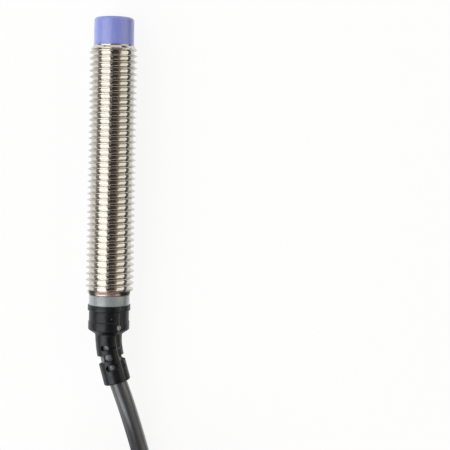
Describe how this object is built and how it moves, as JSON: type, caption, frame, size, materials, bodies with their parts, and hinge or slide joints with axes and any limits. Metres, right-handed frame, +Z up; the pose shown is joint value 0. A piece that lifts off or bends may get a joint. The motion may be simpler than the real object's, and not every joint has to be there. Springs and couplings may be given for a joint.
{
  "type": "inductive proximity sensor",
  "caption": "Slim cylindrical proximity sensor with a threaded metal barrel, a plastic sensing cap, a light ring and a moulded-on cable that leaves through a slotted, bending strain relief.",
  "frame": {"origin": "centre of the sensing face, on the barrel's axis", "axes": "+Y out of the sensing face along the barrel's axis, +Z up from the surface that the sensor lies on, +X to the side that the cable bends to"},
  "size_m": [0.028, 0.163, 0.0166],
  "materials": {
    "cap_plastic": "satin",
    "nickel_plated_brass": "polished, nickel plated",
    "light_ring_plastic": "satin, translucent",
    "black_moulding": "satin",
    "cable_jacket": "satin",
    "ferrite": "matte",
    "former_plastic": "matte",
    "enamelled_copper": "glossy",
    "board_laminate": "satin",
    "chip_epoxy": "matte",
    "chip_ceramic": "matte",
    "chip_resistor": "satin",
    "led_lens": "glossy",
    "potting_resin": "satin",
    "crimp_brass": "satin",
    "brown_insulation": "satin",
    "blue_insulation": "satin",
    "black_insulation": "satin",
    "tinned_wire": "bright",
    "tie_plastic": "satin"
  },
  "bodies": {
    "sensor_body": {"sensing_cap": "cap_plastic", "ferrite_core": "ferrite", "coil_bobbin": "former_plastic", "coil_winding": "enamelled_copper", "threaded_barrel": "nickel_plated_brass", "circuit_board": "board_laminate", "sensor_ic": "chip_epoxy", "output_transistor": "chip_epoxy", "zener_diode": "chip_epoxy", "resonant_capacitor": "chip_ceramic", "supply_capacitor": "chip_ceramic", "adjusting_resistor": "chip_resistor", "load_resistor": "chip_resistor", "upper_led": "led_lens", "lower_led": "led_lens", "resin_plug": "potting_resin", "indicator_ring": "light_ring_plastic", "relief_collar": "black_moulding", "crimp_sleeve": "crimp_brass", "inner_cable": "cable_jacket", "brown_core": "brown_insulation", "blue_core": "blue_insulation", "black_core": "black_insulation"},
    "cable_end": {"relief_tip": "black_moulding", "cable_tube": "cable_jacket", "cable_hank": "cable_jacket", "cable_tie": "tie_plastic", "brown_lead": "brown_insulation", "blue_lead": "blue_insulation", "black_lead": "black_insulation", "brown_wire": "tinned_wire", "blue_wire": "tinned_wire", "black_wire": "tinned_wire"}
  },
  "joints": [
    {"name": "relief_flex", "type": "hinge", "parent": "sensor_body", "child": "cable_end", "pos_m": [0.00042, -0.05542, 0], "axis": [0, 0, 1], "range_deg": [-26, 12]}
  ]
}
